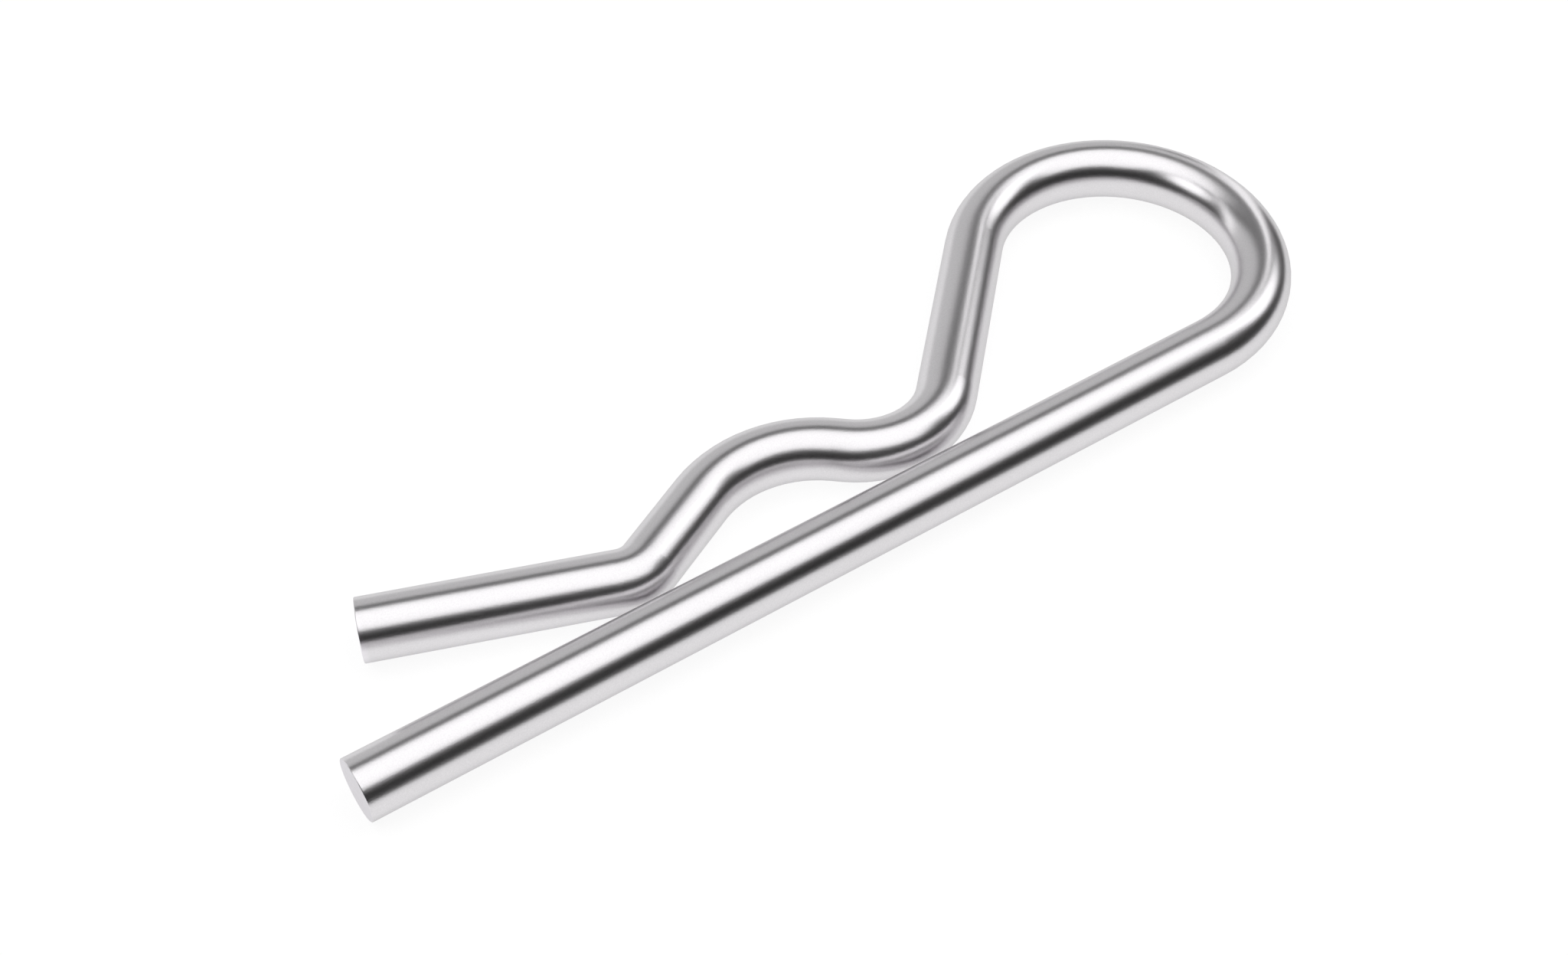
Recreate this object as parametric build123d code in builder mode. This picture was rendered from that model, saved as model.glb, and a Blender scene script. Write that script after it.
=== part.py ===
from build123d import *
from math import atan2, degrees, sqrt
import os

# R-shaped hitch pin clip: one length of round spring wire, bent in one plane and cut square
# at both ends. It lies flat on Z = 0. The straight leg runs along X, with its free tip at -X
# and the pull loop at +X, and the waved arm lies beside the leg, towards +Y. The origin is
# under the middle of the clip's outline. Lengths are in millimetres and angles in degrees.

# Wire
wire_diameter = 5.0
end_rounding = 0.08  # edge of the square cut, at both ends

# Overall size, and what the clip fits
overall_length = 92.5  # from the leg's tip to the outside of the loop
shaft_diameter = 15.9  # cross-drilled pin that the hump sits on, 5/8 inch
leg_gap = 0.55  # between the leg and the two dips of the arm

# Insides of the other bends
loop_inside_diameter = 19.5
throat_inside_radius = 5.0  # the dip between the loop and the hump
kick_inside_radius = 0.75  # the dip between the hump and the flare

# Straight runs of the arm, between its bends
neck_length = 17.8  # loop to throat
ramp_length = 0.95  # throat to hump
slope_length = 7.55  # hump to kick
flare_length = 19.6  # kick to the arm's end
flare_angle = 20.2  # by which the flare opens away from the leg

# Bend radii at the middle of the wire
wire_radius = wire_diameter / 2
loop_radius = loop_inside_diameter / 2 + wire_radius
hump_radius = shaft_diameter / 2 + wire_radius
throat_radius = throat_inside_radius + wire_radius
kick_radius = kick_inside_radius + wire_radius

# Distance of the bends' centres from the middle of the leg. The loop runs straight on from
# the leg. The hump's centre lies on the leg, which passes through the middle of the shaft.
loop_offset = loop_radius
dip_offset = wire_diameter + leg_gap
throat_offset = dip_offset + throat_radius
kick_offset = dip_offset + kick_radius


def joining_run(length, radii, rise):
    """Span along the leg, and angle to the leg, of a straight run between two opposite bends.

    radii is the sum of the two bend radii, and rise is how much further from the leg the
    dip's centre lies than the centre of the loop or hump at the run's other end.
    """
    span = sqrt(length**2 + radii**2 - rise**2)
    angle = degrees(atan2(radii, length) - atan2(rise, span))
    return span, angle


neck_span, neck_angle = joining_run(
    neck_length, loop_radius + throat_radius, throat_offset - loop_offset
)
ramp_span, ramp_angle = joining_run(ramp_length, hump_radius + throat_radius, throat_offset)
slope_span, slope_angle = joining_run(slope_length, hump_radius + kick_radius, kick_offset)

# The wire's centreline starts at the leg's tip, half a wire above the ground
leg_length = overall_length - loop_radius - wire_radius
wire_plane = Plane(origin=(-overall_length / 2, -loop_offset, wire_radius))

with BuildLine(wire_plane) as centreline:
    leg = Line((0, 0), (leg_length, 0))
    loop = JernArc(leg @ 1, leg % 1, loop_radius, 180 + neck_angle)
    neck = PolarLine(loop @ 1, neck_length, direction=loop % 1)
    throat = JernArc(neck @ 1, neck % 1, throat_radius, -neck_angle - ramp_angle)
    ramp = PolarLine(throat @ 1, ramp_length, direction=throat % 1)
    hump = JernArc(ramp @ 1, ramp % 1, hump_radius, ramp_angle + slope_angle)
    slope = PolarLine(hump @ 1, slope_length, direction=hump % 1)
    kick = JernArc(slope @ 1, slope % 1, kick_radius, -slope_angle - flare_angle)
    flare = PolarLine(kick @ 1, flare_length, direction=kick % 1)

with BuildPart() as r_clip:
    with BuildSketch(Plane(origin=leg @ 0, x_dir=(0, 0, -1), z_dir=leg % 0)):  # seam underneath
        Circle(wire_radius)
    sweep(path=centreline.line)
    cut_faces = r_clip.faces().filter_by(GeomType.PLANE)
    fillet(cut_faces.edges(), end_rounding)

r_clip.part.label = "r_clip"
os.makedirs("parts", exist_ok=True)
export_step(r_clip.part, "parts/r_clip.step")

shaft_centre = wire_plane.from_local_coords((leg_length - neck_span - ramp_span, 0))
loop_centre = wire_plane.from_local_coords((leg_length, loop_offset))
print("Wire length", round(centreline.wire().length, 3), "and leg length", round(leg_length, 3))
print("Shaft centre", shaft_centre)
print("Loop centre", loop_centre)
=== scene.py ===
from math import cos, pi, radians, sin, tan

import bpy
from mathutils import Euler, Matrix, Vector


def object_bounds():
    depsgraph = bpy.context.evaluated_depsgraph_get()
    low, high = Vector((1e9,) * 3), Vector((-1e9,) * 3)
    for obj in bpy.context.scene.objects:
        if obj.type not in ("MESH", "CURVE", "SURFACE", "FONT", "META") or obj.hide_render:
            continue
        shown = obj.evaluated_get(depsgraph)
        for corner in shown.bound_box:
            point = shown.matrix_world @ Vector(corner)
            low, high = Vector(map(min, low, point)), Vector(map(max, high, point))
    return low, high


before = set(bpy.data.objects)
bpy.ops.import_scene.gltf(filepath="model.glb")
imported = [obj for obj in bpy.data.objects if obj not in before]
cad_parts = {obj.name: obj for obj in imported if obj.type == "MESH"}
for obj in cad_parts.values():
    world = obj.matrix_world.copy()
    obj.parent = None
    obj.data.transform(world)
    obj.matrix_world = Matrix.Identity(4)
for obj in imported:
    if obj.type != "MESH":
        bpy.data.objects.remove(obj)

mm = 0.001
white = (1.0, 1.0, 1.0, 1.0)
scene = bpy.context.scene
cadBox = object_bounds()  # the CAD model's box, before anything is added
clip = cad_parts["r_clip"]  # the bent wire, which keeps its own shape
print("frame loaded:", ", ".join(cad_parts))


def addNode(tree, kind, sockets=None, **settings):  # a socket's value may be another node's output
    node = tree.nodes.new("ShaderNode" + kind)
    for name, value in settings.items():
        setattr(node, name, value)
    for name, value in (sockets or {}).items():
        if isinstance(value, bpy.types.NodeSocket):
            tree.links.new(value, node.inputs[name])
        else:
            node.inputs[name].default_value = value
    return node


def addMath(tree, operation, *values, **settings):
    return addNode(tree, "Math", dict(enumerate(values)), operation=operation, **settings).outputs[0]


def newMaterial(name):
    material = bpy.data.materials.new(name)
    material.use_nodes = True
    return material


satinNoise = {
    "grainDetail": 1.0,
    "cloudDetail": 2.0,
    "low": 0.25,  # nearly all of the noise lies between these two
    "high": 0.75,
}


def makeSatin(s):  # fine grain in relief and tint, with soft clouds in the tint and the roughness
    group = bpy.data.node_groups.new("satin", "ShaderNodeTree")
    inputs = {
        "Place": "Vector",
        "Grain Size": "Float",
        "Grain Depth": "Float",
        "Grain Tint": "Float",
        "Cloud Size": "Float",
        "Tint": "Color",
        "Tint Spread": "Float",
        "Roughness": "Float",
        "Roughness Spread": "Float",
    }
    outputs = {"Color": "Color", "Roughness": "Float", "Height": "Float"}
    for way, sockets in (("INPUT", inputs), ("OUTPUT", outputs)):
        for name, kind in sockets.items():
            group.interface.new_socket(name, in_out=way, socket_type="NodeSocket" + kind)
    given = group.nodes.new("NodeGroupInput").outputs

    def noise(size, detail):  # from -1 to 1
        spread = addNode(group, "VectorMath", {0: given["Place"], 1: size}, operation="DIVIDE").outputs[0]
        cells = addNode(group, "TexNoise", {"Vector": spread, "Scale": 1.0, "Detail": detail}).outputs[0]
        evenOut = {"Value": cells, "From Min": s["low"], "From Max": s["high"], "To Min": -1.0}
        return addNode(group, "MapRange", evenOut).outputs[0]

    def vary(value, pattern, spread):
        return addMath(group, "MULTIPLY_ADD", pattern, spread, value)

    grain = noise(given["Grain Size"], s["grainDetail"])
    cloud = noise(given["Cloud Size"], s["cloudDetail"])
    shade = vary(vary(1.0, grain, given["Grain Tint"]), cloud, given["Tint Spread"])
    tinted = addNode(group, "VectorMath", {0: given["Tint"], "Scale": shade}, operation="SCALE").outputs[0]
    result = group.nodes.new("NodeGroupOutput").inputs
    group.links.new(tinted, result["Color"])
    group.links.new(vary(given["Roughness"], cloud, given["Roughness Spread"]), result["Roughness"])
    group.links.new(vary(0.0, grain, given["Grain Depth"]), result["Height"])
    return group


drawnSteel = {  # round the wire
    "Grain Size": 0.12 * mm,
    "Grain Depth": 0.001 * mm,
    "Grain Tint": 0.045,
    "Cloud Size": 7 * mm,
    "Tint": (0.733, 0.718, 0.733, 1.0),
    "Tint Spread": 0.015,
    "Roughness": 0.278,
    "Roughness Spread": 0.0025,
}
cutSteel = {  # on the two cut faces, lighter and a little duller
    "Grain Size": 0.2 * mm,
    "Grain Depth": 0.00125 * mm,
    "Grain Tint": 0.03,
    "Cloud Size": 1.5 * mm,
    "Tint": (0.855, 0.83, 0.868, 1.0),
    "Tint Spread": 0.02,
    "Roughness": 0.31,
    "Roughness Spread": 0.02,
}
springWire = {
    "metallic": 1.0,
    "rim": (0.76, 0.76, 0.76, 1.0),  # keeps the grazing edge as grey as the face
    "flareAngle": 20.2,  # degrees by which the arm's end opens away from the leg
    "cutMargin": 0.1,  # mm, over which a cut face's finish runs out at its edge
}
mixSockets = {"RGBA": (6, 7, 2), "FLOAT": (2, 3, 0)}  # a Mix node's two inputs and its output


def cutMiddles(w):  # middle of the leg's cut face and of the arm's, and the wire's radius
    low = Vector(cadBox[0])
    radius = (cadBox[1][2] - low.z) / 2
    legTip = Vector((low.x, low.y + radius, low.z + radius))
    corner = max((v.co for v in clip.data.vertices), key=lambda p: p.y - p.x)  # of the arm's end
    turn = radians(w["flareAngle"])
    armEnd = Vector((corner.x - radius * sin(turn), corner.y - radius * cos(turn), legTip.z))
    return legTip, armEnd, radius


def makeSpringWire(w):
    material = newMaterial("springWire")
    tree = material.node_tree
    place = addNode(tree, "TexCoord").outputs["Object"]

    def finish(look):
        node = addNode(tree, "Group", node_tree=satin)
        tree.links.new(place, node.inputs["Place"])
        for socket, value in look.items():
            node.inputs[socket].default_value = value
        return node.outputs

    def distance(point):
        return addNode(tree, "VectorMath", {0: place, 1: point}, operation="DISTANCE").outputs["Value"]

    drawn, cut = finish(drawnSteel), finish(cutSteel)
    legTip, armEnd, radius = cutMiddles(w)
    nearest = addMath(tree, "MINIMUM", distance(legTip), distance(armEnd))
    edge = {"Value": nearest, "From Min": radius - w["cutMargin"] * mm, "From Max": radius}
    # Only a cut face is nearer to its middle than the wire's radius
    onCut = addNode(tree, "MapRange", {**edge, "To Min": 1.0, "To Max": 0.0}).outputs[0]

    def blend(name, kind):
        first, second, mixed = mixSockets[kind]
        sockets = {0: onCut, first: drawn[name], second: cut[name]}
        return addNode(tree, "Mix", sockets, data_type=kind).outputs[mixed]

    steel = tree.nodes["Principled BSDF"].inputs
    steel["Metallic"].default_value = w["metallic"]
    steel["Specular Tint"].default_value = w["rim"]
    tree.links.new(blend("Color", "RGBA"), steel["Base Color"])
    tree.links.new(blend("Roughness", "FLOAT"), steel["Roughness"])
    bump = addNode(tree, "Bump", {"Distance": 1.0, "Height": blend("Height", "FLOAT")})
    tree.links.new(bump.outputs["Normal"], steel["Normal"])
    return material


satin = makeSatin(satinNoise)
clip.material_slots[0].material = makeSpringWire(springWire)
print("steel finished:", clip.material_slots[0].material.name)

whiteFloor = {
    "radius": 8.0,  # m
    "sides": 128,
    "albedo": 0.2,  # the share that takes the clip's shadow
    "glow": 0.86,  # the rest of the white, as the camera and the metal see it
    "near": 0.3,  # m from the middle, where the shadow's share starts to run out
    "far": 0.8,  # m, beyond which the floor is plain white
}


def makeFloor(f):
    bpy.ops.mesh.primitive_circle_add(vertices=f["sides"], radius=f["radius"], fill_type="NGON")
    floor = bpy.context.object
    floor.name = "whiteFloor"
    material = newMaterial("whiteFloor")
    tree = material.node_tree
    tree.nodes.clear()
    place = addNode(tree, "TexCoord").outputs["Object"]
    away = addNode(tree, "VectorMath", {0: place}, operation="LENGTH").outputs["Value"]

    def fade(near, far):
        span = {"From Min": f["near"], "From Max": f["far"], "To Min": near, "To Max": far}
        return addNode(tree, "MapRange", {"Value": away, **span}).outputs[0]

    rays = addNode(tree, "LightPath").outputs
    mirrored = addMath(tree, "ADD", rays["Is Glossy Ray"], rays["Is Transmission Ray"])
    seen = addMath(tree, "ADD", rays["Is Camera Ray"], mirrored, use_clamp=True)
    lift = addMath(tree, "MULTIPLY", seen, fade(f["glow"], 1.0))
    glow = addNode(tree, "Emission", {"Color": white, "Strength": lift}).outputs[0]
    matt = addNode(tree, "BsdfDiffuse", {"Color": fade(f["albedo"], 0.0)}).outputs[0]
    both = addNode(tree, "AddShader", {0: matt, 1: glow}).outputs[0]
    addNode(tree, "OutputMaterial", {"Surface": both})
    floor.data.materials.append(material)


blackCloth = {"glow": 0.005}  # the tent and the hem, which the metal mirrors and the camera doesn't see


def makeCloth(c):
    material = newMaterial("blackCloth")
    tree = material.node_tree
    tree.nodes.clear()
    glow = addNode(tree, "Emission", {"Color": white, "Strength": c["glow"]}).outputs[0]
    addNode(tree, "OutputMaterial", {"Surface": glow})
    return material


def hangCloth(name, points, faces):
    mesh = bpy.data.meshes.new(name)
    mesh.from_pydata(points, [], faces)
    mesh.materials.append(cloth)
    sheet = bpy.data.objects.new(name, mesh)
    sheet.visible_camera = False
    scene.collection.objects.link(sheet)
    return sheet


def addLight(name, shape, wide, high, glow):  # a glow of 1 is a white panel
    light = bpy.data.lights.new(name, "AREA")
    light.shape = shape
    light.size = wide
    light.size_y = high
    area = wide * high * (pi / 4 if shape == "ELLIPSE" else 1)
    light.energy = glow * pi * area
    lamp = bpy.data.objects.new(name, light)
    lamp.visible_camera = False
    scene.collection.objects.link(lamp)
    return lamp


darkTent = {  # m
    "height": 3.0,
    "foot": 3.0,  # from the middle to each side, on the floor
    "front": 1.71,  # from the middle to the edges of the opening overhead
    "back": 2.54,
    "left": 1.64,
    "right": 2.56,
    "turn": 10.7,  # degrees, front edge towards +X
    "skylight": 0.41,  # what the lamp in the opening adds to the white above it
}


def makeTent(t):
    foot = t["foot"]
    left, right, back, front = -t["left"], t["right"], -t["back"], t["front"]
    below = ((-foot, -foot), (foot, -foot), (foot, foot), (-foot, foot))
    above = ((left, back), (right, back), (right, front), (left, front))
    points = [(x, y, 0) for x, y in below] + [(x, y, t["height"]) for x, y in above]
    sides = [(k, (k + 1) % 4, (k + 1) % 4 + 4, k + 4) for k in range(4)]
    tent = hangCloth("darkTent", points, sides)
    tent.rotation_euler.z = -radians(t["turn"])
    skylight = addLight("skylight", "RECTANGLE", right - left, front - back, t["skylight"])
    skylight.parent = tent
    skylight.location = ((left + right) / 2, (back + front) / 2, t["height"])


darkHem = {  # cloth on the floor at the camera's side, which ends the white that the metal mirrors there
    "wide": 0.105,  # m from the middle to its inner edge, along X and along Y
    "deep": 0.075,
    "foot": 3.0,  # m from the middle to its outer edge
    "lift": 0.0002,  # m above the floor
    "from": 75,  # degrees, bearing from +Y towards +X
    "to": 285,
    "steps": 70,
}


def makeHem(h):
    points, faces = [], []
    for k in range(h["steps"] + 1):
        bearing = radians(h["from"] + (h["to"] - h["from"]) * k / h["steps"])
        points.append((h["wide"] * sin(bearing), h["deep"] * cos(bearing), h["lift"]))
        points.append((h["foot"] * sin(bearing), h["foot"] * cos(bearing), h["lift"]))
        if k:
            faces.append((2 * k - 2, 2 * k, 2 * k + 1, 2 * k - 1))
    hem = hangCloth("darkHem", points, faces)
    hem.visible_diffuse = False
    hem.visible_shadow = False


makeFloor(whiteFloor)
cloth = makeCloth(blackCloth)
makeTent(darkTent)
makeHem(darkHem)
print("floor laid and dark cloth hung")

lampDistance = 2.0  # m from the clip
lamps = {  # bearing from +Y towards +X, elevation, width and height in degrees as the clip sees them
    "leftBox": dict(shape="ELLIPSE", bearing=-76, elevation=43, wide=35, high=33, glow=1.75),
    "rightBox": dict(shape="ELLIPSE", bearing=95.5, elevation=36.5, wide=32, high=30, glow=1.75),
    "leftStrip": dict(shape="RECTANGLE", bearing=-34, elevation=26.5, wide=12.3, high=47, glow=1.02),
    "rightStrip": dict(shape="RECTANGLE", bearing=60.3, elevation=21, wide=10.8, high=42, glow=1.48),
    "frontPanel": dict(shape="RECTANGLE", bearing=7, elevation=20.5, wide=83, high=41, glow=0.64),
}
whiteStudio = {"strength": 1.0}  # the white behind everything and over the tent's opening


def hangLamp(name, lamp):
    bearing, elevation = radians(lamp["bearing"]), radians(lamp["elevation"])
    away = Vector((sin(bearing) * cos(elevation), cos(bearing) * cos(elevation), sin(elevation)))
    wide = 2 * lampDistance * tan(radians(lamp["wide"] / 2))
    high = 2 * lampDistance * tan(radians(lamp["high"] / 2))
    box = addLight(name, lamp["shape"], wide, high, lamp["glow"])
    box.location = away * lampDistance
    box.rotation_euler = away.to_track_quat("Z", "Y").to_euler()


def makeWorld(w):
    world = bpy.data.worlds.new("whiteStudio")
    world.use_nodes = True
    background = world.node_tree.nodes["Background"].inputs
    background["Color"].default_value = white
    background["Strength"].default_value = w["strength"]
    scene.world = world


for lampName, lampValues in lamps.items():
    hangLamp(lampName, lampValues)
makeWorld(whiteStudio)
print("studio lit:", ", ".join(lamps))

photoCamera = {  # mm
    "lens": 50.0,
    "film": 36.0,
    "nearest": 1.0,
    "place": (-66.583, -98.473, 130.932),
    "turn": (41.086, 0.285, -33.363),  # degrees
}


def setCamera(c):
    data = bpy.data.cameras.new("photoCamera")
    data.lens = c["lens"]
    data.sensor_width = c["film"]
    data.clip_start = c["nearest"] * mm
    camera = bpy.data.objects.new("photoCamera", data)
    camera.location = Vector(c["place"]) * mm
    camera.rotation_euler = Euler([radians(a) for a in c["turn"]])
    scene.collection.objects.link(camera)
    scene.camera = camera


setCamera(photoCamera)
scene.view_settings.view_transform = "Standard"
print("camera set")
